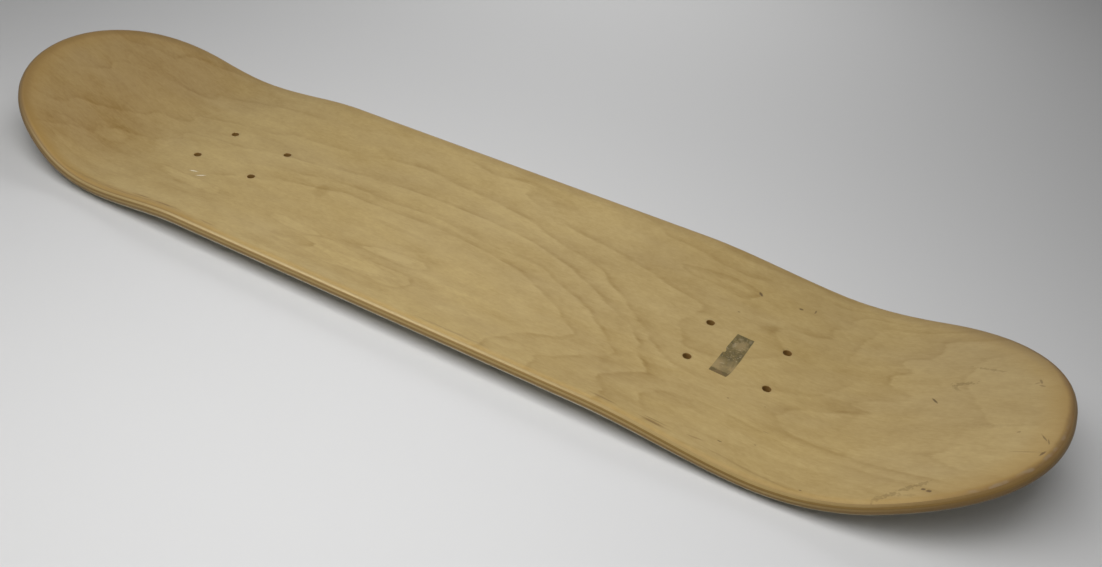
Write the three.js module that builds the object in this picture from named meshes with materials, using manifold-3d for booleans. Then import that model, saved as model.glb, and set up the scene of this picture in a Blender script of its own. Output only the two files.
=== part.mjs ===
// A bare skateboard deck: seven maple veneers pressed into a board with a raised nose, a raised tail and
// a concave, rounded along its rim and drilled for two trucks. Lengths are millimetres.
// +X runs towards the nose, +Y across the board and +Z up. The belly lies on z = 0, and the origin is
// midway between the two trucks.
import * as THREE from "three";
import { mergeVertices } from "three/addons/utils/BufferGeometryUtils.js";
import Module from "manifold-3d";

// Bolt pattern of the two trucks
const WHEELBASE = 361.95;
const BOLT_PITCH_ALONG = 53.975;
const BOLT_PITCH_ACROSS = 41.275;
const BOLT_HOLE_DIAMETER = 5.6;

// Plan of the flat blank. The end lengths run from the outer bolts to the tip, along the wood.
const DECK_WIDTH = 208.7;
const NOSE_LENGTH = 173.4;
const TAIL_LENGTH = 167.7;
const NOSE_TAPER_LENGTH = 236.8;
const TAIL_TAPER_LENGTH = 207.3;
const NOSE_TAPER_POWER = 3.67;
const TAIL_TAPER_POWER = 3.77;
const NOSE_ROUND_POWER = 2.21;
const TAIL_ROUND_POWER = 2.04;

// Kicks: each bend starts this far outside the outer bolts, and its radius is to the middle of the wood
const NOSE_KICK_OFFSET = 16.1;
const TAIL_KICK_OFFSET = 28;
const NOSE_KICK_RADIUS = 168.4;
const TAIL_KICK_RADIUS = 127.5;
const NOSE_KICK_ANGLE = THREE.MathUtils.degToRad(24.3);
const TAIL_KICK_ANGLE = THREE.MathUtils.degToRad(24.5);

// Concave: the rails rise beside a flat floor. It starts to ease out this far inside the outer bolts.
const FLAT_WIDTH = 58;
const CONCAVE_RISE = 12.2;
const NOSE_EASE_OFFSET = 90.7;
const TAIL_EASE_OFFSET = 61.2;
const NOSE_EASE_LENGTH = 111;
const TAIL_EASE_LENGTH = 86;
const NOSE_CONCAVE_SHARE = 0.325;
const TAIL_CONCAVE_SHARE = 0.39;

// Veneers, and the rounding of the rim
const FACE_VENEER = 1.3;
const CORE_VENEER = 1.4;
const CROSSBAND_VENEER = 1.3;
const RIM_RADIUS = 4.5;

// Worn label between the nose bolts. Its place is measured from the middle of those bolts.
const LABEL_LENGTH = 44.4;
const LABEL_WIDTH = 13.1;
const LABEL_THICKNESS = 0.15;
const LABEL_OFFSET_ALONG = -2.5;
const LABEL_OFFSET_ACROSS = -2.8;
const LABEL_TURN = THREE.MathUtils.degToRad(-3.8);

// The label's torn outline, as shares of its width and its length
const LABEL_OUTLINE_SHARES = [
  [-0.5, -0.5],
  [0.41, -0.5],
  [0.47, -0.42],
  [0.5, -0.32],
  [0.5, -0.04],
  [0.44, 0.5],
  [-0.475, 0.5],
  [-0.5, 0.1],
  [-0.395, 0.04],
  [-0.4, 0],
  [-0.5, -0.02],
];

// Fineness of the faces
const STEPS_STRAIGHT = 4;
const STEPS_EASE = 5;
const STEPS_BEND = 6;
const STEPS_CAP = 9;
const STEPS_RAIL = 3;
const STEP_RIM = THREE.MathUtils.degToRad(30);
const HOLE_SIDES = 16;
const CUT_OVERRUN = 2;

// The layup from the top down. Crossbands have their grain across the board, the rest along it.
const LAYUP = [
  { name: "top_face_veneer", thickness: FACE_VENEER, wood: "face" },
  { name: "upper_core_veneer", thickness: CORE_VENEER, wood: "core" },
  { name: "upper_crossband_veneer", thickness: CROSSBAND_VENEER, wood: "crossband" },
  { name: "middle_core_veneer", thickness: CORE_VENEER, wood: "core" },
  { name: "lower_crossband_veneer", thickness: CROSSBAND_VENEER, wood: "crossband" },
  { name: "lower_core_veneer", thickness: CORE_VENEER, wood: "core" },
  { name: "bottom_face_veneer", thickness: FACE_VENEER, wood: "painted" },
];

const MATERIALS = {
  face: { color: 0xc9a777, roughness: 0.5, metalness: 0 },
  core: { color: 0xc29a66, roughness: 0.6, metalness: 0 },
  crossband: { color: 0x8f6b3c, roughness: 0.7, metalness: 0 },
  painted: { color: 0xb9b2a2, roughness: 0.5, metalness: 0 },
  label: { color: 0x5b5645, roughness: 0.6, metalness: 0 },
};

// Sizes that follow from the ones above
const THICKNESS = LAYUP.reduce((sum, veneer) => sum + veneer.thickness, 0);
const HALF_WIDTH = DECK_WIDTH / 2;
const HALF_FLAT = FLAT_WIDTH / 2;
const OUTER_BOLTS = WHEELBASE / 2 + BOLT_PITCH_ALONG;
const TRUCK_CENTRE = WHEELBASE / 2 + BOLT_PITCH_ALONG / 2;
const ROUNDING = Math.min(RIM_RADIUS, THICKNESS / 2);

// One end of the board. Its stations are distances from the middle of the wheelbase, along the wood.
function boardEnd(direction, size) {
  const tip = OUTER_BOLTS + size.length;
  const bendStart = OUTER_BOLTS + size.kickOffset;
  return {
    ...size,
    direction,
    tip,
    taperStart: tip - size.taperLength,
    easeStart: OUTER_BOLTS - size.easeOffset,
    bendStart,
    bendEnd: bendStart + size.kickRadius * size.kickAngle,
  };
}

const NOSE = boardEnd(1, {
  length: NOSE_LENGTH,
  taperLength: NOSE_TAPER_LENGTH,
  taperPower: NOSE_TAPER_POWER,
  roundPower: NOSE_ROUND_POWER,
  kickOffset: NOSE_KICK_OFFSET,
  kickRadius: NOSE_KICK_RADIUS,
  kickAngle: NOSE_KICK_ANGLE,
  easeOffset: NOSE_EASE_OFFSET,
  easeLength: NOSE_EASE_LENGTH,
  concaveShare: NOSE_CONCAVE_SHARE,
});

const TAIL = boardEnd(-1, {
  length: TAIL_LENGTH,
  taperLength: TAIL_TAPER_LENGTH,
  taperPower: TAIL_TAPER_POWER,
  roundPower: TAIL_ROUND_POWER,
  kickOffset: TAIL_KICK_OFFSET,
  kickRadius: TAIL_KICK_RADIUS,
  kickAngle: TAIL_KICK_ANGLE,
  easeOffset: TAIL_EASE_OFFSET,
  easeLength: TAIL_EASE_LENGTH,
  concaveShare: TAIL_CONCAVE_SHARE,
});

// Point of the blank's outline, with the direction inwards. The turn is 0 at the tip and a quarter turn
// where the taper starts: a superellipse, with one power along the board and another across it.
function outlinePoint(end, turn) {
  const u = Math.cos(turn) ** (2 / end.taperPower);
  const v = Math.sin(turn) ** (2 / end.roundPower);
  const slopeAlong = (end.taperPower * u ** (end.taperPower - 1)) / end.taperLength;
  const slopeAcross = (end.roundPower * v ** (end.roundPower - 1)) / HALF_WIDTH;
  const slope = Math.hypot(slopeAlong, slopeAcross);
  return {
    end,
    along: end.taperStart + end.taperLength * u,
    across: HALF_WIDTH * v,
    inAlong: -slopeAlong / slope,
    inAcross: -slopeAcross / slope,
  };
}

// Turn of the outline at a distance along the board
function outlineTurn(end, along) {
  const u = THREE.MathUtils.clamp((along - end.taperStart) / end.taperLength, 0, 1);
  return Math.acos(u ** (end.taperPower / 2));
}

// Rim point at a distance along the board, on the parallel stretch or on the taper
function rimAt(end, along) {
  if (along > end.taperStart) return outlinePoint(end, outlineTurn(end, along));
  return { end, along, across: HALF_WIDTH, inAlong: 0, inAcross: -1 };
}

// Rim points from the start of the easing to the tip: even steps along the easing and the bend, then
// even turns round the cap
function endStations(end) {
  const stations = [];
  const spread = (from, to, steps, make) => {
    for (let i = 0; i < steps; i += 1) stations.push(make(from + ((to - from) * i) / steps));
  };
  spread(end.easeStart, end.bendStart, STEPS_EASE, (along) => rimAt(end, along));
  spread(end.bendStart, end.bendEnd, STEPS_BEND, (along) => rimAt(end, along));
  spread(outlineTurn(end, end.bendEnd), 0, STEPS_CAP, (turn) => outlinePoint(end, turn));
  stations.push(outlinePoint(end, 0));
  return stations;
}

// Rim points of the whole board, from the tail's tip to the nose's
function boardStations() {
  const middle = [];
  for (let i = 1; i < STEPS_STRAIGHT; i += 1) {
    const x = THREE.MathUtils.lerp(-TAIL.easeStart, NOSE.easeStart, i / STEPS_STRAIGHT);
    middle.push(rimAt(x < 0 ? TAIL : NOSE, Math.abs(x)));
  }
  return [...endStations(TAIL).reverse(), ...middle, ...endStations(NOSE)];
}

// Middle line of the wood from the side: flat, then an arc, then straight up the kick
function centreLine(end, along) {
  const turn = THREE.MathUtils.clamp((along - end.bendStart) / end.kickRadius, 0, end.kickAngle);
  const straight = Math.max(along - end.bendEnd, 0);
  const flat = Math.min(along, end.bendStart);
  return {
    turn,
    x: flat + end.kickRadius * Math.sin(turn) + straight * Math.cos(turn),
    z: end.kickRadius * (1 - Math.cos(turn)) + straight * Math.sin(turn),
  };
}

// Height of the concave above the floor, with its slopes: a parabola beside the flat, which eases out
// towards the kick along a smooth step
function concave(end, along, across) {
  const railWidth = HALF_WIDTH - HALF_FLAT;
  const rail = Math.max(Math.abs(across) - HALF_FLAT, 0) / railWidth;
  const ease = THREE.MathUtils.clamp((along - end.easeStart) / end.easeLength, 0, 1);
  const share = 1 - (1 - end.concaveShare) * ease * ease * (3 - 2 * ease);
  const shareSlope = (-(1 - end.concaveShare) * 6 * ease * (1 - ease)) / end.easeLength;
  return {
    rise: CONCAVE_RISE * rail * rail * share,
    slopeAcross: (CONCAVE_RISE * 2 * rail * Math.sign(across) * share) / railWidth,
    slopeAlong: CONCAVE_RISE * rail * rail * shareSlope,
  };
}

// Point of the pressed board under a point of the flat blank, at a depth below the top surface.
// The wood keeps its thickness, so depth runs square to the pressed surface.
function pressedPoint(end, along, across, depth) {
  const line = centreLine(end, along);
  const curve = concave(end, along, across);
  const level = THICKNESS / 2 - depth;
  const [sin, cos] = [Math.sin(line.turn), Math.cos(line.turn)];
  const normal = new THREE.Vector3(
    -sin - curve.slopeAlong * cos,
    -curve.slopeAcross,
    cos - curve.slopeAlong * sin,
  ).normalize();
  return new THREE.Vector3(
    end.direction * (line.x - curve.rise * sin + level * normal.x),
    across + level * normal.y,
    THICKNESS / 2 + line.z + curve.rise * cos + level * normal.z,
  );
}

// How far the rounded rim draws in at a depth
function rimInset(depth) {
  const below = Math.min(depth, THICKNESS - depth);
  if (below >= ROUNDING) return 0;
  return ROUNDING - Math.sqrt(ROUNDING ** 2 - (ROUNDING - below) ** 2);
}

// Turn round the rim at a depth: 0 at the top surface, a half turn at the bottom one
function rimTurn(depth) {
  if (depth < ROUNDING) return Math.acos(1 - depth / ROUNDING);
  const above = THICKNESS - depth;
  return above < ROUNDING ? Math.PI - Math.acos(1 - above / ROUNDING) : Math.PI / 2;
}

// Depth at a turn round the rim
function rimDepth(turn) {
  const drop = ROUNDING * (1 - Math.abs(Math.cos(turn)));
  return turn < Math.PI / 2 ? drop : THICKNESS - drop;
}

// Depths of a veneer's edge, from its upper face to its lower one, in even turns round the rim
function edgeDepths(upper, lower) {
  const [from, to] = [rimTurn(upper), rimTurn(lower)];
  const steps = Math.max(1, Math.ceil((to - from) / STEP_RIM));
  const depths = [upper];
  for (let i = 1; i < steps; i += 1) depths.push(rimDepth(THREE.MathUtils.lerp(from, to, i / steps)));
  depths.push(lower);
  return depths;
}

// Places of the columns across the board, as shares of its half width: the floor's edges, and even
// steps up each rail
function columnShares() {
  const flatShare = HALF_FLAT / HALF_WIDTH;
  const rail = [];
  for (let i = 0; i <= STEPS_RAIL; i += 1) rail.push(THREE.MathUtils.lerp(flatShare, 1, i / STEPS_RAIL));
  return [...rail.map((share) => -share).reverse(), ...rail];
}

const STATIONS = boardStations();
const COLUMNS = columnShares();

// Rows of points across the board, one for each station, at a depth and drawn in from the outline
function pressedRows(depth, inset) {
  return STATIONS.map((station) => {
    const along = station.along + inset * station.inAlong;
    const across = station.across + inset * station.inAcross;
    return COLUMNS.map((share) => pressedPoint(station.end, along, share * across, depth));
  });
}

// Closed mesh from triangles, given as points in threes. Triangles that have shrunk to a line are left
// out, as at the tips.
function meshOf(corners) {
  const kept = [];
  for (let i = 0; i < corners.length; i += 3) {
    const [a, b, c] = corners.slice(i, i + 3);
    if (!a.equals(b) && !b.equals(c) && !c.equals(a)) kept.push(a, b, c);
  }
  return new THREE.BufferGeometry().setFromPoints(kept);
}

// A closed sheet from its layers of rows, top layer first: an upper face, a lower face and the edge
// between them. Both faces are split along the same diagonals, so that neighbours meet face to face.
function sheetGeometry(layers) {
  const corners = [];
  const quad = (a, b, c, d) => corners.push(a, b, c, a, c, d);
  const [top, bottom] = [layers[0], layers[layers.length - 1]];
  const last = COLUMNS.length - 1;
  for (let i = 0; i + 1 < STATIONS.length; i += 1) {
    for (let j = 0; j < last; j += 1) {
      quad(top[i][j], top[i + 1][j], top[i + 1][j + 1], top[i][j + 1]);
      quad(bottom[i][j], bottom[i][j + 1], bottom[i + 1][j + 1], bottom[i + 1][j]);
    }
    for (let k = 0; k + 1 < layers.length; k += 1) {
      const [over, under] = [layers[k], layers[k + 1]];
      quad(under[i][0], under[i + 1][0], over[i + 1][0], over[i][0]);
      quad(over[i][last], over[i + 1][last], under[i + 1][last], under[i][last]);
    }
  }
  return meshOf(corners);
}

// A veneer between two depths
function veneerGeometry(upper, lower) {
  return sheetGeometry(edgeDepths(upper, lower).map((depth) => pressedRows(depth, rimInset(depth))));
}

// A film that lies on the top face, inside its rounded rim
function filmGeometry(thickness) {
  return sheetGeometry([pressedRows(-thickness, ROUNDING), pressedRows(0, ROUNDING)]);
}

const wasm = await Module();
wasm.setup();

// Solid of a closed mesh
function solidOf(geometry) {
  const bare = new THREE.BufferGeometry();
  bare.setAttribute("position", geometry.getAttribute("position"));
  if (geometry.index) bare.setIndex(geometry.index);
  const merged = mergeVertices(bare);
  return new wasm.Manifold(
    new wasm.Mesh({
      numProp: 3,
      vertProperties: merged.attributes.position.array,
      triVerts: new Uint32Array(merged.index.array),
    }),
  );
}

// Mesh geometry of a solid
function geometryOf(solid) {
  const mesh = solid.getMesh();
  const geometry = new THREE.BufferGeometry();
  geometry.setAttribute("position", new THREE.BufferAttribute(mesh.vertProperties, 3));
  geometry.setIndex(new THREE.BufferAttribute(mesh.triVerts, 1));
  const faceted = geometry.toNonIndexed();
  faceted.computeVertexNormals();
  return faceted;
}

// The eight drills, which pass through the whole thickness
function boltDrills() {
  const length = THICKNESS + 2 * CUT_OVERRUN;
  const radius = BOLT_HOLE_DIAMETER / 2;
  const drills = [];
  for (const truck of [-TRUCK_CENTRE, TRUCK_CENTRE]) {
    for (const sideAlong of [-1, 1]) {
      for (const sideAcross of [-1, 1]) {
        const drill = new THREE.CylinderGeometry(radius, radius, length, HOLE_SIDES);
        drill.rotateX(Math.PI / 2);
        drill.translate(
          truck + (sideAlong * BOLT_PITCH_ALONG) / 2,
          (sideAcross * BOLT_PITCH_ACROSS) / 2,
          THICKNESS / 2,
        );
        drills.push(solidOf(drill));
      }
    }
  }
  return drills.reduce((all, drill) => all.add(drill));
}

function material(finish) {
  return new THREE.MeshStandardMaterial(MATERIALS[finish]);
}

// The seven veneers, glued face to face and drilled together
function veneers() {
  const drills = boltDrills();
  let depth = 0;
  return LAYUP.map((veneer) => {
    const lower = depth + veneer.thickness;
    const solid = solidOf(veneerGeometry(depth, lower)).subtract(drills);
    const mesh = new THREE.Mesh(geometryOf(solid), material(veneer.wood));
    mesh.name = veneer.name;
    depth = lower;
    return mesh;
  });
}

// The torn label: a film stuck to the top face, cut to the label's outline
function wornLabel() {
  const points = LABEL_OUTLINE_SHARES.map(
    ([wide, long]) => new THREE.Vector2(wide * LABEL_WIDTH, long * LABEL_LENGTH),
  );
  const cutter = new THREE.ExtrudeGeometry(new THREE.Shape(points), {
    depth: THICKNESS + CONCAVE_RISE + CUT_OVERRUN,
    bevelEnabled: false,
  });
  cutter.rotateZ(LABEL_TURN);
  cutter.translate(TRUCK_CENTRE + LABEL_OFFSET_ALONG, LABEL_OFFSET_ACROSS, 0);
  const film = solidOf(filmGeometry(LABEL_THICKNESS)).intersect(solidOf(cutter));
  const mesh = new THREE.Mesh(geometryOf(film), material("label"));
  mesh.name = "worn_label";
  return mesh;
}

const deck = new THREE.Group();
deck.add(...veneers(), wornLabel());

export default deck;
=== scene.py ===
"""A bare skateboard deck: seven maple veneers pressed together, a worn label, and the stage they lie on."""

import math

import bpy
import numpy as np
from bpy.props import FloatProperty, FloatVectorProperty, PointerProperty
from mathutils import Matrix, Vector


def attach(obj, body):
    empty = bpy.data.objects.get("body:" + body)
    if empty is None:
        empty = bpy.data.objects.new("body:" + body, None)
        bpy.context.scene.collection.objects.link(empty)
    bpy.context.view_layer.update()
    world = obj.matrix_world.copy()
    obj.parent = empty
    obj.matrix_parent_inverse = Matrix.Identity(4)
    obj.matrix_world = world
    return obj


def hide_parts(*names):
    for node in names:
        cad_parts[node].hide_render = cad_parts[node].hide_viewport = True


bl_info = {
    "name": "Maple Skateboard Deck",
    "version": (1, 0, 0),
    "blender": (4, 5, 0),
    "location": "View3D > Sidebar > Deck",
    "description": "Builds a bare seven-ply skateboard deck with its grain, rim and worn label",
    "category": "Add Mesh",
}

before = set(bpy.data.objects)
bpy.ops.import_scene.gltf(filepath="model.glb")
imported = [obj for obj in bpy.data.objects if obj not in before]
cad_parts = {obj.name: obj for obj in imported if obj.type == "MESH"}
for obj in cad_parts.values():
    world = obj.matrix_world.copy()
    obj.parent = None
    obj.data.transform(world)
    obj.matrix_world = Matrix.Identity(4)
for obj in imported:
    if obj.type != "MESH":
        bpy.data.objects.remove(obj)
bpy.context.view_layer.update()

MM = 0.001
BODY = "root"

# The pattern of each truck's four bolts, along and across the board
BOLTS_ALONG = 0.053975
BOLTS_ACROSS = 0.041275

# Powers of the superellipse that shapes each end, and the share of the concave that is left on it, all
# with the tail's first
TAPER_POWERS = (3.77, 3.67)
ROUND_POWERS = (2.04, 2.21)
CONCAVE_SHARES = (0.39, 0.325)

# How finely a veneer is divided: along the board, round each tip, across the board and round the rim
STATION_STEP = 3 * MM
TIP_STEPS = 36
COLUMNS = 76
RIM_STEP = math.radians(7.5)

# Round each bolt hole a square block of the veneer's cells gives way to a ring with twice its corners
HOLE_BLOCK = 4
HOLE_SIDES = 8 * HOLE_BLOCK
HOLE_CHAMFER = 0.3 * MM

# Points closer than this become one, and edges that bend more than this stay sharp
WELD = 0.0001 * MM
SHARP_ANGLE = math.radians(40)

# The veneers from the top down: node, material slot, kind of wood
FACE, CORE, CROSSBAND = "face", "core", "crossband"
LAYUP = (
    ("top_face_veneer", "maple_face", FACE),
    ("upper_core_veneer", "maple_core", CORE),
    ("upper_crossband_veneer", "maple_crossband", CROSSBAND),
    ("middle_core_veneer", "maple_core", CORE),
    ("lower_crossband_veneer", "maple_crossband", CROSSBAND),
    ("lower_core_veneer", "maple_core", CORE),
    ("bottom_face_veneer", "painted_maple", FACE),
)


# Growth lines of the top veneer, placed over the wood in millimetres: the line's height among
# the growth rings, how strongly it shows, and its points along and across, in order
GROWTH_LINES = (
    (0, 0.7, ((-386, 40), (-375, 42), (-364, 53), (-341, 61), (-339, 70), (-335, 75), (-316, 86))),
    (0, 0.8, ((105, 97), (120, 91), (137, 89), (152, 86), (169, 83), (185, 82), (206, 87), (237, 89),
        (254, 88))),
    (0, 0.3, ((254, 88), (275, 92), (300, 92))),
    (1, 0.9, ((-390, -22), (-379, -19), (-372, -13), (-363, -2), (-359, 6), (-363, 13), (-357, 23),
        (-351, 30), (-337, 35), (-312, 43), (-288, 51), (-292, 61))),
    (1, 0.9, ((-292, 61), (-281, 62), (-256, 71), (-229, 77))),
    (1, 0.3, ((-229, 77), (-205, 78), (-160, 82), (-110, 93), (-60, 93))),
    (1, 0.9, ((-60, 93), (-45, 90), (-30, 87), (0, 92), (30, 89), (45, 84), (25, 80), (10, 77), (30, 71),
        (60, 62), (91, 57), (123, 50), (148, 42), (166, 38), (173, 33), (172, 28), (165, 14), (163, 8),
        (170, -1), (175, -11), (189, -12), (199, -10))),
    (1, 0.7, ((199, -10), (213, 0), (225, 9), (233, 18), (228, 28), (219, 38), (227, 45), (248, 49),
        (255, 53), (254, 64), (267, 71), (262, 77), (272, 86))),
    (0.8, 0.1, ((180, 22), (196, 30), (210, 24), (214, 10), (190, 2))),
    (2, 0.8, ((-380, -66), (-368, -61), (-352, -55), (-347, -48), (-347, -40), (-335, -33), (-321, -21),
        (-307, -7), (-304, 3), (-285, 9))),
    (2, 0.6, ((-285, 9), (-277, 14), (-281, 20), (-277, 26), (-256, 32), (-229, 38), (-208, 41), (-199, 49),
        (-172, 51), (-141, 54), (-128, 56), (-116, 61))),
    (2, 0.9, ((-116, 61), (-99, 64), (-80, 66), (-60, 64), (-40, 62), (-10, 60), (20, 55), (40, 48),
        (60, 41), (79, 38), (94, 32), (107, 21), (123, 10), (133, 0), (146, -9), (158, -21))),
    (2, 0.4, ((158, -21), (164, -27), (173, -31), (190, -34), (206, -33), (222, -27), (240, -18),
        (256, -13), (265, -8), (271, 0), (277, 8), (279, 16), (273, 25), (272, 37), (274, 47), (278, 62),
        (285, 78))),
    (3, 0.6, ((-340, -84), (-330, -70), (-318, -58), (-310, -50), (-311, -42), (-307, -36), (-293, -31),
        (-273, -21), (-263, -10), (-268, 0), (-243, 5), (-218, 9), (-193, 17), (-180, 20))),
    (3, 1.1, ((-180, 20), (-156, 23), (-124, 31), (-110, 34), (-95, 34), (-76, 37), (-40, 38), (0, 37),
        (20, 35), (40, 32), (60, 26), (77, 20), (93, 12), (110, 2), (125, -6), (137, -13), (150, -26),
        (155, -38), (167, -49), (156, -61), (144, -74), (147, -80), (152, -87), (154, -100))),
    (3, 0.8, ((330, 70), (324, 52), (306, 48), (305, 43), (314, 34), (302, 30), (300, 20), (319, 6),
        (300, 1), (290, -3), (284, -7), (299, -12), (281, -18), (260, -26), (252, -32), (246, -42),
        (256, -51), (285, -56), (302, -59), (325, -64), (340, -67), (360, -72))),
    (4, 0.15, ((-310, -90), (-285, -60), (-255, -38), (-205, -10), (-168, 4))),
    (4, 0.8, ((-168, 4), (-151, 6), (-135, 12), (-101, 15), (-76, 14), (-40, 17), (20, 11), (45, 11),
        (60, 9), (72, 2), (98, -9), (108, -15), (118, -23), (135, -38), (141, -43), (141, -50), (133, -58),
        (114, -75), (104, -83), (107, -92), (107, -102))),
    (5, 0.15, ((-265, -92), (-240, -66), (-222, -44), (-200, -32))),
    (5, 1.0, ((-200, -32), (-187, -23), (-170, -18), (-158, -11), (-141, -5), (-110, 4), (-89, 4), (-60, 5),
        (-20, 6), (20, 2), (50, -5), (70, -15), (83, -21), (102, -36), (111, -43), (111, -47), (103, -55),
        (91, -61), (84, -67), (79, -76), (73, -86), (72, -100))),
    (6, 0.9, ((-95, -60), (-88, -55), (-75, -53), (-62, -55), (-40, -57), (-12, -57), (-3, -64), (-5, -74),
        (-15, -79), (-45, -79), (-60, -82), (-80, -80), (-108, -78), (-114, -75), (-95, -70), (-82, -66),
        (-95, -60))),
    (6, 0.8, ((-66, -47), (-42, -38), (-12, -36), (-6, -44), (-20, -48), (-45, -49), (-66, -47))),
    (6.4, 1, ((-75, -60), (-60, -67), (-50, -69), (-20, -69))),
    (6.3, 1, ((-40, -44), (-20, -43))),
    (5.7, 0.3, ((-90, -40), (-60, -28), (-20, -24), (20, -34), (35, -60), (20, -85))),
    (5.6, 0.3, ((-150, -45), (-140, -70), (-120, -90), (-60, -98), (0, -98))),
    (5.9, 0.5, ((-70, -88), (-30, -90), (-5, -88))),
    (2, 0.6, ((180, -92), (174, -80), (172, -73), (181, -63), (194, -60), (206, -58), (227, -58),
        (240, -60), (260, -64), (296, -66), (310, -69), (338, -75), (355, -79))),
    (1, 0.3, ((185, -96), (205, -86), (230, -82), (255, -79), (273, -78), (308, -80), (325, -86))),
    (4, 0.6, ((352, 50), (345, 30), (352, 10), (358, 3), (361, -5), (363, -11), (369, -16), (352, -21),
        (351, -30), (352, -35), (340, -47), (352, -56))),
    (0, 1.1, ((141, 67), (150, 70), (164, 73), (177, 74), (191, 73), (199, 70), (197, 65), (192, 60),
        (177, 61), (164, 63), (148, 64), (141, 67))),
    (-0.4, 1.1, ((152, 67), (170, 68), (188, 67))),
    (0.5, 0.4, ((130, 68), (150, 57), (180, 53), (202, 57), (212, 70), (205, 76), (180, 79), (140, 77))),
)

# Marks and patches of the top face, in millimetres over the wood: place along and across, half length,
# half width, turn in degrees, strength. These are pale scratches beside the tail's bolts.
SCRATCHES = (
    (-219.4, -40.7, 3.4, 0.6, 18, 1.0),
    (-210.6, -42.6, 3.6, 0.6, 38, 1.0),
)
# Small dark dents
DENTS = (
    (199.5, 69, 2.5, 1.1, -45, 1.0),
    (193, 43, 1.0, 0.7, 0, 0.6),
    (228.5, 70, 1.6, 1.0, 10, 0.9),
    (238, 73, 2.0, 0.6, 87, 0.7),
    (332.7, 6.1, 3.2, 0.7, -52, 1.0),
    (387.4, 31.5, 2.6, 0.8, -70, 0.6),
    (388.6, 27, 1.8, 0.8, -20, 0.5),
    (385.6, 29.5, 1.6, 0.6, 40, 0.4),
    (343.2, -77.3, 1.4, 1.0, 0, 1.0),
    (346.2, -78.4, 1.6, 1.1, 0, 1.0),
    (217.5, -43, 0.8, 0.7, 0, 0.5),
    (239.5, -37.2, 0.6, 0.5, 0, 0.4),
    (226.8, -83.7, 1.6, 0.5, 5, 0.8),
    (245.4, -73.2, 0.8, 0.5, 0, 0.5),
    (280.5, -96.7, 0.9, 0.6, 0, 0.7),
    (247.4, -58.7, 2.2, 0.35, 0, 0.4),
    (381.9, -18.8, 1.3, 0.7, 40, 0.5),
    (395.1, -22.6, 3.2, 0.5, -60, 0.7),
    (397.6, -26, 2.4, 0.45, -80, 0.6),
    (395.8, -36.4, 2.6, 0.7, 58, 0.9),
    (388, -36, 8, 0.4, 5, 0.4),
    (189.4, -93.9, 8, 0.5, 3, 0.5),
)
# Islands of paler wood, where the cut grazes a growth ring
ISLANDS = (
    (-208, -53, 37, 6.5, -3, 0.9),
    (-303, -46, 15, 10, 40, 0.6),
    (-325, -62, 17, 4, 12, 0.6),
    (-287, -77, 42, 7, 5, 0.5),
    (-112, -54, 24, 6, -3, 0.8),
    (-46, -68, 34, 8, 2, 0.7),
    (-30, -43, 18, 4, 8, 0.7),
    (-268, -22, 10, 8, 30, 0.3),
    (24, -52, 14, 4, 0, 0.4),
    (36, -74, 12, 6, 20, 0.4),
    (84, -85, 12, 6, 15, 0.5),
    (215, -74, 34, 10, 0, 0.3),
    (180, 67, 16, 4, -3, 0.3),
)
# Darker patches: most are of the wood, and the last two only darken broad areas on the near side
SHADES = (
    (-127, -4, 6, 11, 12, 1.0),
    (-30, -28, 13, 5, 10, 0.9),
    (-54, -12, 28, 2.5, -3, 0.8),
    (-72, -49, 22, 2.6, -4, 0.8),
    (-210, -70, 14, 7, 0, 0.5),
    (-40, -88, 45, 3.2, 0, 0.6),
    (6, -58, 10, 4, -20, 0.5),
    (-8, -32, 16, 4, -6, 0.6),
    (205, 51, 7, 6, 0, 0.4),
    (218, 39, 7, 6, 30, 0.8),
    (278, -54, 26, 2.5, -3, 0.8),
    (275, -14, 24, 9, 18, 0.6),
    (-340, 68, 6, 5, 60, 0.6),
    (-260, 68, 22, 4, 14, 0.5),
    (-300, -55, 30, 3.5, 0, 0.5),
    (-340, -68, 14, 5, 0, 0.4),
    (165, -88, 12, 8, 0, 0.3),
    (158, -52, 46, 20, 0, 0.5),
    (-107, -90, 30, 6, 0, 0.8),
)
# Thin dark streaks along the near rim
RIM_STREAKS = (
    (-262, -97, 34, 1.1, 1, 0.4),
    (-214, -95.4, 9, 0.8, 2, 1.0),
    (-191, -96.6, 13, 1.0, 0, 1.0),
    (-228, -98.5, 40, 0.9, 0, 0.5),
    (-150, -97.5, 8, 0.9, 0, 0.7),
    (50, -98.5, 34, 1.3, 0, 0.5),
    (157, -97.4, 8, 1.2, 0, 0.8),
    (189, -96.6, 10, 1.3, -1, 1.0),
    (214, -91, 6, 0.8, 12, 0.6),
    (250, -96.5, 30, 1.0, -4, 0.4),
)
# Faint dirt on the nose
SMUDGES = (
    (346.3, 25.3, 7.0, 1.4, 18, 1.0),
    (341.5, 21, 3.6, 1.3, -60, 0.9),
    (358, 42, 10, 0.9, -12, 0.8),
    (322, -90, 5, 1.4, 50, 0.8),
    (328, -85, 6, 1.6, 42, 1.0),
    (335, -78, 6, 1.7, 36, 1.0),
    (341, -73, 5, 1.3, 40, 0.9),
    (337, -84, 5, 0.9, 15, 0.5),
    (370, -14, 14, 1.3, 8, 0.25),
)
# On the label: the patch rubbed pale, small pale spots, and darker corners
LABEL_PATCH = (206.8, 8.6, 4.4, 6.0, -8)
LABEL_SPOTS = (
    (203, 7, 1.5, 2.4, 0, 0.6),
    (204.5, 15.5, 1.6, 1.2, 20, 0.5),
    (211, 16, 1.1, 1.8, 0, 0.5),
    (210.4, -2, 0.7, 0.7, 0, 0.8),
    (202.5, -14, 1.9, 0.5, 12, 0.9),
    (200.5, 1.5, 1.2, 0.8, 40, 0.4),
)
LABEL_CORNERS = (
    (199.4, -22.6, 2.4, 1.8, 30, 0.9),
    (207.6, -23, 2.2, 1.6, -30, 0.8),
    (209.4, -12, 0.8, 4, 4, 0.5),
)

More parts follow.
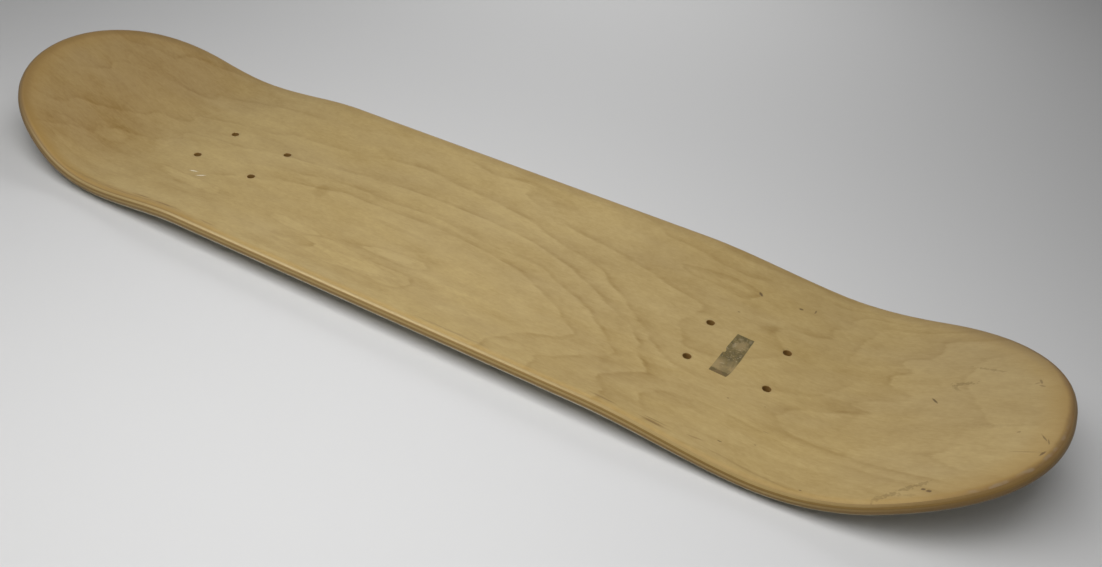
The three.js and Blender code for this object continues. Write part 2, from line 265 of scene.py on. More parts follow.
# The label's torn sides, as shares of its length up each side and of its width at that height
LABEL_LEFT_SHARES = ((-0.5, -0.5), (-0.02, -0.5), (0, -0.4), (0.04, -0.395), (0.1, -0.5), (0.5, -0.475))
LABEL_RIGHT_SHARES = ((-0.5, 0.41), (-0.42, 0.47), (-0.32, 0.5), (-0.04, 0.5), (0.5, 0.44))
LABEL_ROWS = 60
LABEL_COLUMNS = 16

# Stretches over which the wood changes, in millimetres along it from the middle, from none to full;
# the tail, nose, end and dulling stretches also drive painted shade
TAIL_TONE = (-230, -340)
NOSE_TONE = (285, 350)
RAIL_DULLING_AND_SHADE = (130, 230)
EDGE_WEAR = (250, 385)
END_WEAR_AND_SHADE = (300, 392)
TIP_WEAR = (345, 398)

# Casts, wear, dirt and painted shade, as linear colours
RED_CAST = (0.27, 0.15, 0.10)
YELLOW_CAST = (0.50, 0.42, 0.28)
PAINTED_FAR_SHADE = (0.20, 0.135, 0.062)
CHAFED_TIP = (0.175, 0.103, 0.040)
SCUFFED_RIM = (0.27, 0.21, 0.14)
SMUDGED_WOOD = (0.13, 0.088, 0.036)
DENTED_WOOD = (0.10, 0.055, 0.022)
SCRATCHED_LACQUER = (0.80, 0.75, 0.62)
HANDLED_WOOD = (0.17, 0.105, 0.05)
GLUE_LINE = (0.11, 0.062, 0.025)
WASHER_PRINT = (0.2, 0.16, 0.11)
LABEL_SPECKS = (0.40, 0.34, 0.21)
LABEL_STRIP = (0.125, 0.08, 0.03)
LABEL_SPOT = (0.36, 0.30, 0.19)


def length(name, description, default):
    """A length that the user can change, in metres."""
    return FloatProperty(name=name, description=description, default=default, unit="LENGTH", precision=4)


def end_sizes(name, description, tail, nose, unit="LENGTH"):
    """A size that each end has its own value of, the tail's first."""
    return FloatVectorProperty(
        name=name, description=description, default=(tail, nose), size=2, unit=unit, precision=4
    )


def angle(name, description, degrees):
    """An angle that the user can change."""
    return FloatProperty(name=name, description=description, default=math.radians(degrees), subtype="ANGLE")


def colour(name, description, default):
    """A colour that the user can change."""
    return FloatVectorProperty(
        name=name, description=description, default=default, subtype="COLOR", size=3, min=0, max=1
    )


class DeckSizes(bpy.types.PropertyGroup):
    """The driving sizes of the pressed board."""

    wheelbase: length("Wheelbase", "Between the inner bolts of the two trucks", 0.36195)
    width: length("Width", "Across the blank at its widest", 0.2087)
    face_veneer: length("Face veneer", "Thickness of the top and bottom veneers", 0.0013)
    core_veneer: length("Core veneer", "Thickness of the veneers with their grain along", 0.0014)
    crossband_veneer: length("Crossband", "Thickness of the veneers with their grain across", 0.0013)
    rim_radius: length("Rim radius", "Rounding of the sanded rim", 0.0045)
    bolt_hole: length("Bolt hole", "Diameter of the bolt holes", 0.0056)
    flat_width: length("Flat width", "Floor between the rising rails", 0.058)
    concave_rise: length("Concave", "How far the rails rise above the floor", 0.0122)
    end_length: end_sizes("End", "From the outer bolts to the tip, tail first", 0.1677, 0.1734)
    taper: end_sizes("Taper", "Length over which the end narrows, tail first", 0.2073, 0.2368)
    kick_offset: end_sizes("Kick offset", "From the outer bolts to the bend, tail first", 0.028, 0.0161)
    kick_radius: end_sizes("Kick radius", "Radius of the bend, tail first", 0.1275, 0.1684)
    kick_angle: end_sizes(
        "Kick", "How steeply the end rises, tail first", math.radians(24.5), math.radians(24.3), "ROTATION"
    )
    ease_offset: end_sizes("Easing offset", "From the outer bolts to the easing, tail first", 0.0612, 0.0907)
    ease_length: end_sizes("Easing", "Length over which the concave eases, tail first", 0.086, 0.111)


class DeckLabel(bpy.types.PropertyGroup):
    """The worn label between the nose's bolts."""

    length: length("Length", "Along its long side, across the board", 0.0444)
    width: length("Width", "Along its short side", 0.0131)
    thickness: length("Thickness", "Of the printed film", 0.00015)
    along: length("Offset along", "From the middle of the nose's bolts", -0.0025)
    across: length("Offset across", "From the middle of the nose's bolts", -0.0028)
    turn: angle("Turn", "From square", -3.8)


def end_values(sizes):
    """The sizes of both ends as pairs, tail first."""
    kick = (sizes.kick_offset, sizes.kick_radius, sizes.kick_angle)
    pairs = (sizes.end_length, sizes.taper, *kick, sizes.ease_offset, sizes.ease_length)
    reach, taper, kick_offset, radius, bend, ease_offset, ease = np.array([list(pair) for pair in pairs])
    outer = sizes.wheelbase / 2 + BOLTS_ALONG
    bend_start = outer + kick_offset
    return {
        "taper": taper,
        "taper_start": outer + reach - taper,
        "taper_power": np.array(TAPER_POWERS),
        "round_power": np.array(ROUND_POWERS),
        "bend_start": bend_start,
        "bend_end": bend_start + radius * bend,
        "radius": radius,
        "angle": bend,
        "ease_start": outer - ease_offset,
        "ease": ease,
        "concave_share": np.array(CONCAVE_SHARES),
    }


class Board:
    """The pressed board as a surface of three blank coordinates: s along the wood from the middle of the
    wheelbase, positive towards the nose, y across it, and the depth below the top face."""

    def __init__(self, sizes):
        self.ends = end_values(sizes)
        self.half_width = sizes.width / 2
        self.half_flat = sizes.flat_width / 2
        self.rise = sizes.concave_rise
        self.hole_radius = sizes.bolt_hole / 2
        self.truck = sizes.wheelbase / 2 + BOLTS_ALONG / 2
        thickness = {FACE: sizes.face_veneer, CORE: sizes.core_veneer, CROSSBAND: sizes.crossband_veneer}
        self.depths = np.concatenate([[0], np.cumsum([thickness[kind] for _, _, kind in LAYUP])])
        self.thickness = self.depths[-1]
        self.rounding = min(sizes.rim_radius, self.thickness / 2)

    def value(self, name, s):
        """A size of the end that s lies on."""
        return np.where(s > 0, self.ends[name][1], self.ends[name][0])

    def outline(self, end, turn):
        """Rim point of an end at a turn, 0 at the tip and a quarter turn where the taper starts. Along the
        board, u is the cosine to the power 2/m, and across it v is the sine to the power 2/q, which makes
        u^m + v^q = 1. The inward direction is the downhill side of that sum."""
        m, q = self.ends["taper_power"][end], self.ends["round_power"][end]
        u, v = np.cos(turn) ** (2 / m), np.sin(turn) ** (2 / q)
        slope_s = m * u ** (m - 1) / self.ends["taper"][end]
        slope_y = q * v ** (q - 1) / self.half_width
        slope = np.hypot(slope_s, slope_y)
        sign = 1 if end else -1
        s = self.ends["taper_start"][end] + self.ends["taper"][end] * u
        return np.stack([sign * s, self.half_width * v, -sign * slope_s / slope, -slope_y / slope])

    def outline_turn(self, end, distance):
        """Turn of the outline at a distance from the middle of the wheelbase."""
        u = np.clip((distance - self.ends["taper_start"][end]) / self.ends["taper"][end], 0, 1)
        return np.arccos(u ** (self.ends["taper_power"][end] / 2))

    def stations(self, step, cap_steps):
        """Rim points on the far side from the tail's tip to the nose's: even steps along the board up to
        the middle of each bend, then even turns round the cap. Rows: s, y, inward s, inward y."""
        caps, starts = [], []
        for end in (0, 1):
            start = (self.ends["bend_start"][end] + self.ends["bend_end"][end]) / 2
            turns = np.linspace(self.outline_turn(end, start), 0, cap_steps + 1)
            turns[-1] = 0
            caps.append(self.outline(end, turns))
            starts.append(start)
        count = int(round((starts[0] + starts[1]) / step))
        s = np.linspace(-starts[0], starts[1], count + 1)[1:-1]
        middle = np.zeros((4, len(s)))
        for end in (0, 1):
            mine = (s > 0) == bool(end)
            middle[:, mine] = self.outline(end, self.outline_turn(end, np.abs(s[mine])))
        middle[0] = s
        return np.concatenate([caps[0][:, ::-1], middle, caps[1]], axis=1)

    def rim(self, s, y):
        """Distance from the rim: what u^m + v^q lacks of 1, over the steepness of that sum."""
        m, q = self.value("taper_power", s), self.value("round_power", s)
        u = np.maximum((np.abs(s) - self.value("taper_start", s)) / self.value("taper", s), 0)
        v = np.abs(y) / self.half_width
        steep = np.hypot(m * u ** (m - 1) / self.value("taper", s), q * v ** (q - 1) / self.half_width)
        return (1 - u**m - v**q) / np.maximum(steep, 1)

    def inset(self, depth):
        """How far the rounded rim draws in at a depth: the rounding's radius less the half chord there."""
        below = np.minimum(depth, self.thickness - depth)
        lack = np.clip(self.rounding - below, 0, self.rounding)
        return self.rounding - np.sqrt(self.rounding**2 - lack**2)

    def rim_turn(self, depth):
        """Turn round the rim at a depth: 0 on the top face, a half turn on the bottom face."""
        top = np.arccos(np.clip(1 - depth / self.rounding, 0, 1))
        bottom = np.arccos(np.clip(1 - (self.thickness - depth) / self.rounding, 0, 1))
        return top if depth < self.thickness / 2 else math.pi - bottom

    def edge_depths(self, upper, lower, step):
        """Depths of a veneer's edge from its upper to its lower face, in even turns round the rim."""
        first, last = self.rim_turn(upper), self.rim_turn(lower)
        count = max(2, math.ceil((last - first) / step))
        turns = np.linspace(first, last, count + 1)
        drop = self.rounding * (1 - np.abs(np.cos(turns)))
        depths = np.where(turns < math.pi / 2, drop, self.thickness - drop)
        if last - first < step:
            depths = np.linspace(upper, lower, count + 1)
        depths[0], depths[-1] = upper, lower
        return depths

    def centre_line(self, s):
        """Side view of the middle of the wood: flat, then an arc, then straight up the kick. Gives x, z
        and the slope's angle, all signed by the end."""
        distance, sign = np.abs(s), np.where(s > 0, 1, -1)
        radius, bend = self.value("radius", s), self.value("bend_start", s)
        turn = np.clip((distance - bend) / radius, 0, self.value("angle", s))
        straight = np.maximum(distance - self.value("bend_end", s), 0)
        x = np.minimum(distance, bend) + radius * np.sin(turn) + straight * np.cos(turn)
        z = radius * (1 - np.cos(turn)) + straight * np.sin(turn)
        return sign * x, z, sign * turn

    def concave(self, s, y):
        """Height of the concave with its slopes: a parabola beside the flat floor, which eases out towards
        the kick along the smooth step 3t^2 - 2t^3."""
        rail_width = self.half_width - self.half_flat
        rail = np.maximum(np.abs(y) - self.half_flat, 0) / rail_width
        ease = np.clip((np.abs(s) - self.value("ease_start", s)) / self.value("ease", s), 0, 1)
        lost = 1 - self.value("concave_share", s)
        share = 1 - lost * ease**2 * (3 - 2 * ease)
        share_slope = -lost * 6 * ease * (1 - ease) / self.value("ease", s) * np.sign(s)
        rise = self.rise * rail**2 * share
        slope_y = self.rise * 2 * rail * np.sign(y) * share / rail_width
        return rise, self.rise * rail**2 * share_slope, slope_y

    def press(self, blank):
        """Points of the board at blank coordinates: the middle of the wood, raised by the concave square
        to the centre line, then moved by the depth along the surface's own normal."""
        s, y, depth = blank.T
        x, z, turn = self.centre_line(s)
        rise, slope_s, slope_y = self.concave(s, y)
        sin, cos = np.sin(turn), np.cos(turn)
        normal = np.stack([-sin - slope_s * cos, -slope_y, cos - slope_s * sin], axis=1)
        normal /= np.linalg.norm(normal, axis=1, keepdims=True)
        centre = np.stack([x - rise * sin, y, self.thickness / 2 + z + rise * cos], axis=1)
        return centre + (self.thickness / 2 - depth)[:, None] * normal


def grid_quads(index, flip=False):
    """Quads of a grid of vertex numbers, each as four corners."""
    quads = np.stack([index[:-1, :-1], index[1:, :-1], index[1:, 1:], index[:-1, 1:]], axis=-1)
    return quads[..., ::-1] if flip else quads


def block_edge(index, i, j, size):
    """Vertex numbers round a square block of cells, counterclockwise from its low corner."""
    steps = np.arange(size)
    rows = np.concatenate([i + steps, np.full(size, i + size), i + size - steps, np.full(size, i)])
    columns = np.concatenate([np.full(size, j), j + steps, np.full(size, j + size), j + size - steps])
    return index[rows, columns]


class Sheet:
    """A closed sheet being built in blank coordinates: blocks of points, and triangles between them."""

    def __init__(self):
        self.points, self.triangles, self.count = [], [], 0

    def add(self, s, y, depth):
        """Adds points and gives their numbers in the arrays' shape."""
        s, y, depth = np.broadcast_arrays(s, y, depth)
        self.points.append(np.stack([s.ravel(), y.ravel(), depth.ravel()], axis=1))
        numbers = np.arange(s.size).reshape(s.shape) + self.count
        self.count += s.size
        return numbers

    def quads(self, quads):
        """Adds quads, each split along its first diagonal."""
        quads = quads.reshape(-1, 4)
        self.triangles += [quads[:, [0, 1, 2]], quads[:, [0, 2, 3]]]

    def finish(self):
        """The points with doubles merged, and the triangles that keep three corners."""
        points = np.concatenate(self.points)
        triangles = np.concatenate(self.triangles)
        keys = np.round(points / WELD).astype(np.int64)
        _, first, merged = np.unique(keys, axis=0, return_index=True, return_inverse=True)
        triangles = merged.ravel()[triangles]
        a, b, c = triangles.T
        whole = (a != b) & (b != c) & (c != a)
        return points[first], triangles[whole]


def ring_of(sheet, centre, radius, depth, sides):
    """Points of a circle round a hole, counterclockwise from the low corner's direction."""
    turns = -0.75 * math.pi + np.arange(sides) * (2 * math.pi / sides)
    return sheet.add(centre[0] + radius * np.cos(turns), centre[1] + radius * np.sin(turns), depth)


def ring_band(sheet, outer, inner, flip):
    """Quads between two circles of as many points."""
    outer_next, inner_next = np.roll(outer, -1), np.roll(inner, -1)
    quads = np.stack([outer, outer_next, inner_next, inner], axis=-1)
    sheet.quads(quads[:, ::-1] if flip else quads)


def block_to_ring(sheet, edge, ring, flip):
    """Triangles from a block's edge to a circle with twice as many points."""
    edge_next, even, odd = np.roll(edge, -1), ring[0::2], ring[1::2]
    even_next = np.roll(even, -1)
    fans = [(edge, edge_next, odd), (edge, odd, even), (edge_next, even_next, odd)]
    for fan in fans:
        triangles = np.stack(fan, axis=-1)
        sheet.triangles.append(triangles[:, ::-1] if flip else triangles)


def bolt_centres(board):
    """Blank coordinates of the eight bolt holes."""
    return [
        (truck + along * BOLTS_ALONG / 2, across * BOLTS_ACROSS / 2)
        for truck in (-board.truck, board.truck)
        for along in (-1, 1)
        for across in (-1, 1)
    ]


def veneer_sheet(board, upper, lower):
    """A veneer between two depths, in blank coordinates. Its faces are grids of stations along the board
    by columns across it, drawn in by the rim's rounding; its edge follows the rounding; and round each
    bolt hole a block of cells gives way to rings."""
    stations = board.stations(STATION_STEP, TIP_STEPS)
    columns, rims = np.linspace(-1, 1, COLUMNS + 1), np.array([-1, 1])
    sheet = Sheet()

    def layer(depth, shares):
        """The stations drawn in at a depth, each spread across by shares of its half width."""
        s, y, in_s, in_y = stations[:, :, None]
        inset = board.inset(depth)
        return sheet.add(s + inset * in_s, (y + inset * in_y) * shares, depth)

    top, bottom = layer(upper, columns), layer(lower, columns)
    between = board.edge_depths(upper, lower, RIM_STEP)[1:-1]
    edges = [top[:, [0, -1]], *[layer(depth, rims) for depth in between], bottom[:, [0, -1]]]
    for over, under in zip(edges[:-1], edges[1:]):
        sheet.quads(grid_quads(np.stack([under[:, 0], over[:, 0]], axis=1)))
        sheet.quads(grid_quads(np.stack([over[:, 1], under[:, 1]], axis=1)))

    kept = np.ones((top.shape[0] - 1, top.shape[1] - 1), bool)
    chamfers = (HOLE_CHAMFER if upper == 0 else 0, HOLE_CHAMFER if lower == board.thickness else 0)
    for centre in bolt_centres(board):
        nearest = int(np.argmin(np.abs(stations[0] - centre[0])))
        i = nearest - HOLE_BLOCK // 2
        j = int(np.argmin(np.abs(stations[1][nearest] * columns - centre[1]))) - HOLE_BLOCK // 2
        kept[i : i + HOLE_BLOCK, j : j + HOLE_BLOCK] = False
        cut_hole(sheet, board, centre, (top, bottom), (upper, lower), chamfers, (i, j))
    sheet.quads(grid_quads(top)[kept])
    sheet.quads(grid_quads(bottom, flip=True)[kept])
    return sheet.finish()


def cut_hole(sheet, board, centre, faces, depths, chamfers, block):
    """The wall of a bolt hole and the rings that join it to both faces, with a small chamfer outside."""
    walls = []
    for face, depth, chamfer, inward, flip in zip(faces, depths, chamfers, (1, -1), (False, True)):
        edge = block_edge(face, *block, HOLE_BLOCK)
        ring = ring_of(sheet, centre, board.hole_radius + chamfer, depth, HOLE_SIDES)
        block_to_ring(sheet, edge, ring, flip)
        wall = ring_of(sheet, centre, board.hole_radius, depth + inward * chamfer, HOLE_SIDES)
        ring_band(sheet, ring, wall, flip)
        walls.append(wall)
    ring_band(sheet, walls[0], walls[1], False)


class GrowthField:
    """Height among the growth rings at any place on the wood, from the growth lines by a thin plate: a sum
    of r^2 log r over the lines' points plus a plane, with the board's length drawn in by STRETCH. The
    lines' strengths are averaged by 1 over the fourth power of the distance, levelled off close by."""

    STRETCH = 0.45
    SMOOTHING = 0.5
    SPACING = 9
    NEAR_SQUARED = 60
    TINY = 1e-9
    BATCH = 4000

    def __init__(self):
        """Solves for the weights that meet the lines' heights, smoothed a little, and hold no plane."""
        places, heights, strengths = [], [], []
        for height, strength, line in GROWTH_LINES:
            line_places = self.spread(np.array(line, float) * [self.STRETCH, 1])
            places.append(line_places)
            heights += [height] * len(line_places)
            strengths += [strength] * len(line_places)
        self.places, first = np.unique(np.concatenate(places).round(2), axis=0, return_index=True)
        self.strengths = np.array(strengths, float)[first]
        count = len(self.places)
        system = np.zeros((count + 3, count + 3))
        apart = self.places[:, None] - self.places
        square = (apart**2).sum(axis=2) + self.TINY
        system[:count, :count] = 0.5 * square * np.log(square) + self.SMOOTHING * np.eye(count)
        system[:count, count:] = np.column_stack([np.ones(count), self.places])
        system[count:, :count] = system[:count, count:].T
        known = np.concatenate([np.array(heights, float)[first], np.zeros(3)])
        self.weights = np.linalg.solve(system, known)

    def spread(self, line):
        """Even points along a line, no farther apart than SPACING."""
        points = [line[:1]]
        for start, stop in zip(line[:-1], line[1:]):
            count = max(1, math.ceil(np.hypot(*(stop - start)) / self.SPACING))
            points.append(start + (stop - start) * np.arange(1, count + 1)[:, None] / count)
        return np.concatenate(points)

    def sample(self, s, y):
        """Height, its slopes along and across per millimetre, and the lines' strength, at places in
        millimetres."""
        at = np.column_stack([s * self.STRETCH, y])
        count = len(self.places)
        pull, (level, *plane) = self.weights[:count], self.weights[count:]
        rows = []
        for part in np.array_split(at, max(1, len(at) // self.BATCH)):
            apart = part[:, None] - self.places
            square = (apart**2).sum(axis=2) + self.TINY
            log = np.log(square)
            height = 0.5 * (square * log) @ pull + level + part @ np.array(plane)
            slope = np.einsum("ijk,ij,j->ik", apart, log + 1, pull) + np.array(plane)
            near = 1 / (square + self.NEAR_SQUARED) ** 2
            strength = near @ self.strengths / near.sum(axis=1)
            rows.append(np.column_stack([height, slope * [self.STRETCH, 1], strength]))
        return np.concatenate(rows).T


def new_piece(name, points, triangles, attributes):
    """A mesh object at the origin, smooth but for its sharp corners, with its point attributes."""
    mesh = bpy.data.meshes.new(name)
    mesh.from_pydata(points.tolist(), [], triangles.tolist())
    mesh.shade_smooth()
    mesh.set_sharp_from_angle(angle=SHARP_ANGLE)
    for key, values in attributes.items():
        wide = values.ndim == 2
        attribute = mesh.attributes.new(key, "FLOAT_VECTOR" if wide else "FLOAT", "POINT")
        attribute.data.foreach_set("vector" if wide else "value", values.astype(np.float32).ravel())
    mesh.update()
    piece = bpy.data.objects.new(name, mesh)
    bpy.context.scene.collection.objects.link(piece)
    return piece


def place_piece(piece, node, material):
    """Lets a piece stand for its node, ride on the board and wear its material."""
    piece.data.materials.append(material)
    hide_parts(node)
    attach(piece, BODY)


def wood_attributes(board, blank, upper, lower):
    """What the wood's shader reads at each point: the place on the wood in millimetres, the distance from
    the rim, the share of the way down the veneer, and the distance from a bolt."""
    s, y, depth = blank.T
    bolts = np.array(bolt_centres(board))
    bolt = np.sqrt(((blank[:, None, :2] - bolts) ** 2).sum(axis=2)).min(axis=1)
    return {
        "blank": blank / MM,
        "rim": board.rim(s, y) / MM,
        "ply": (depth - upper) / (lower - upper),
        "bolt": bolt / MM,
    }


def plug(tree, value, slot):
    """Links a signal to a socket, or sets the socket to a constant."""
    if isinstance(value, Signal):
        tree.links.new(value.socket, slot)
    else:
        slot.default_value = value


def wire(tree, kind, inputs, output=0, **settings):
    """Adds a shader node with its settings, plugs its inputs, and gives one output as a signal."""
    node = tree.nodes.new("ShaderNode" + kind)
    for key, value in settings.items():
        setattr(node, key, value)
    for slot, value in inputs.items():
        plug(tree, value, node.inputs[slot])
    return Signal(tree, node.outputs[output])


class Signal:
    """A number, vector or colour in a shader's node tree. Arithmetic on it adds math nodes."""

    def __init__(self, tree, socket):
        self.tree, self.socket = tree, socket

    def math(self, operation, *others, clamp=False):
        """This number and others through one of the math node's operations."""
        inputs = dict(enumerate((self, *others)))
        return wire(self.tree, "Math", inputs, operation=operation, use_clamp=clamp)

    def __add__(self, other):
        return self.math("ADD", other)

    def __mul__(self, other):
        return self.math("MULTIPLY", other)

    def __sub__(self, other):
        return self.math("SUBTRACT", other)

    def __rsub__(self, other):
        return (self * -1.0) + other

    __radd__ = __add__

    def rise(self, low, high):
        """Smooth step, 3t^2 - 2t^3, from 0 at low to 1 at high, where low may be the larger."""
        inputs = {"Value": self, "From Min": min(low, high), "From Max": max(low, high)}
        step = wire(self.tree, "MapRange", inputs, interpolation_type="SMOOTHSTEP")
        return step if low < high else 1 - step

    def clamp(self):
        """This number held between 0 and 1."""
        return self.math("ADD", 0.0, clamp=True)

    def size(self):
        """This number without its sign."""
        return self.math("ABSOLUTE")


class Shader:
    """One material's node tree, with the wood's coordinates at hand. Lengths in it are in millimetres over
    the wood, and strengths are shares from 0 to 1."""

    MARK_EDGE = 1.25
    MARK_DEPTH = 3

    def __init__(self, name):
        self.material = bpy.data.materials.new(name)
        self.material.use_nodes = True
        self.tree = self.material.node_tree
        self.surface = self.tree.nodes["Principled BSDF"]
        self.surface.inputs["Specular IOR Level"].default_value = 0.3
        self.place = self.attribute("blank", "Vector")
        self.s, self.y, self.depth = self.split(self.place)

    def attribute(self, name, output="Fac"):
        """A point attribute of the mesh."""
        return wire(self.tree, "Attribute", {}, output, attribute_name=name)

    def split(self, vector):
        """The three parts of a vector."""
        node = self.tree.nodes.new("ShaderNodeSeparateXYZ")
        plug(self.tree, vector, node.inputs[0])
        return [Signal(self.tree, output) for output in node.outputs]

    def noise(self, along, across, seed, detail=2.0, down=None, roughness=0.5):
        """Noise about 0, from -0.5 to 0.5, with features of these lengths. Each seed shifts the pattern."""
        inputs = {
            "Vector": self.place,
            "Location": (seed * 7.31, seed * 3.17, seed * 5.77),
            "Scale": (1 / along, 1 / across, 1 / (down or across)),
        }
        place = wire(self.tree, "Mapping", inputs, vector_type="POINT")
        inputs = {"Vector": place, "Scale": 1.0, "Detail": detail, "Roughness": roughness}
        return wire(self.tree, "TexNoise", inputs) - 0.5

    def mark(self, along, across, half_length, half_width, turn, ragged, soft=0.55):
        """A ragged spot on the top face: 1 within a soft share of its ellipse, and 0 from MARK_EDGE times
        the ellipse outwards."""
        inputs = {
            "Vector": self.place,
            "Location": (along, across, 0),
            "Rotation": (0, 0, math.radians(turn)),
            "Scale": (half_length, half_width, self.MARK_DEPTH),
        }
        place = wire(self.tree, "Mapping", inputs, vector_type="TEXTURE")
        size = wire(self.tree, "VectorMath", {0: place}, "Value", operation="LENGTH")
        return (size + ragged).rise(self.MARK_EDGE, soft)

    def marks(self, table, ragged, soft=0.55):
        """The strongest of a table of marks at each place."""
        total = 0.0
        for *shape, strength in table:
            spot = self.mark(*shape, ragged, soft) * strength
            total = spot.math("MAXIMUM", total)
        return total

    def patch(self, name, ragged):
        """How deep in the nearest patch of an attribute this is, from 0 to 1, and the patch's strength."""
        size, strength, _ = self.split(self.attribute(name, "Vector"))
        return (size + ragged).rise(self.MARK_EDGE, 0.4), strength

    def mix(self, factor, first, second, blend="MIX"):
        """Blends two colours, each a constant or a signal."""
        first, second = (value if isinstance(value, Signal) else (*value, 1.0) for value in (first, second))
        return wire(self.tree, "Mix", {0: factor, 6: first, 7: second}, 2, data_type="RGBA", blend_type=blend)

    def coats(self, colour, *layers):
        """Lays colours over a colour in turn, each with its cover, from 0 for none to 1 for full."""
        for cover, tint in layers:
            colour = self.mix(cover, colour, tint)
        return colour

    def finish(self, colour, roughness, height, relief=0.05):
        """Sets the surface's colour, roughness and bump, whose relief is in millimetres."""
        plug(self.tree, colour, self.surface.inputs["Base Color"])
        plug(self.tree, roughness, self.surface.inputs["Roughness"])
        bump = wire(self.tree, "Bump", {"Strength": 1.0, "Distance": relief * MM, "Height": height})
        plug(self.tree, bump, self.surface.inputs["Normal"])
        return self.material


def tinted(base, tint):
    """A base colour times a tint."""
    return tuple(value * factor for value, factor in zip(base, tint))


def growth_lines(shader):
    """How much darker the growth rings make the wood: a soft dark line where the height passes a whole
    number, shade on its low side that thins out over 14 mm, and a paler glow on its high side. The height
    is shifted by noise along the wood, which feathers the tips of the flames."""
    ring = shader.attribute("ring")
    slope_s, slope_y, strength = shader.split(shader.attribute("ring_slope", "Vector"))
    shift_s = shader.noise(50, 2.8, 1, detail=3) * 4.5 + shader.noise(25, 9, 2) * 8
    shift_y = shader.noise(45, 9, 3, detail=2) * 3.2 + shader.noise(9, 1.2, 4) * 0.5
    passed = (ring + slope_s * shift_s + slope_y * shift_y).math("FRACT")
    steep = (slope_s * slope_s + slope_y * slope_y).math("SQRT").math("MAXIMUM", 0.012)
    low_side = (1 - passed).math("DIVIDE", steep)
    high_side = passed.math("DIVIDE", steep)
    uneven = (shader.noise(34, 10, 5, detail=2) * 4 + 0.9).math("MAXIMUM", 0.1) * strength
    line = low_side.rise(3.4, 0) * 0.46
    shade = low_side.rise(14, 0) * 0.5
    edge = high_side.rise(2.2, 0) * 1.2
    glow = high_side.rise(11, 0) * 0.28
    return (line + shade + edge - glow) * uneven


def figured_wood(shader, finish, tail, nose):
    """The top veneer's figure, from its pale tone to its dark one: growth rings, clouds, fibres, flecks,
    pores, islands and shades, then greyer drifts and the casts of both ends. The tail and nose are
    darkened as painted shade and the middle is lightened as a painted pool of light. Gives the colour,
    and the fibres and clouds, which the gloss follows."""
    rings = growth_lines(shader) * finish.growth_contrast
    clouds = shader.noise(95, 34, 11, detail=2) * 0.68 + shader.noise(17, 9, 12, detail=3) * 0.6
    fibres = shader.noise(14, 0.9, 13, detail=3) * 0.26 + shader.noise(110, 3.2, 14) * 0.12
    flecks = shader.noise(3.4, 1.7, 24, detail=3) * 0.6
    pores = shader.noise(4.5, 0.4, 15, detail=1).rise(0.16, 0.32) * 0.2
    torn = shader.noise(15, 5, 25, detail=4) * 1.3
    inside, island = shader.patch("islands", torn)
    outline = inside.rise(0.0, 0.16) - inside.rise(0.2, 0.55)
    pale = (inside.rise(0.3, 0.9) - outline * 0.55) * island
    shade, strength = shader.patch("shades", torn)
    middle = (shader.s + 60).size().rise(230, 50)
    # Painted shade and light: the tail and nose terms darken the ends, and the middle term lightens the
    # middle of the board
    tone = tail * 0.42 + nose * 0.1 - middle * 0.15 + shade * strength * 0.26 - pale * 0.26 + 0.40
    dark = rings * (0.35 - tail * 0.07) + clouds + fibres + flecks + pores + tone
    dark_wood = tinted(finish.pale_wood, (0.525, 0.438, 0.25))
    greyer = (shader.noise(75, 30, 22, detail=3) * 1.6 + 0.2).clamp()
    colour = shader.coats(
        shader.mix((dark * 0.8).clamp(), finish.pale_wood, dark_wood),
        (greyer * 0.35, finish.grey_wood),
        (tail * 0.12, RED_CAST),
        (nose * 0.1, YELLOW_CAST),
    )
    return colour, fibres, clouds


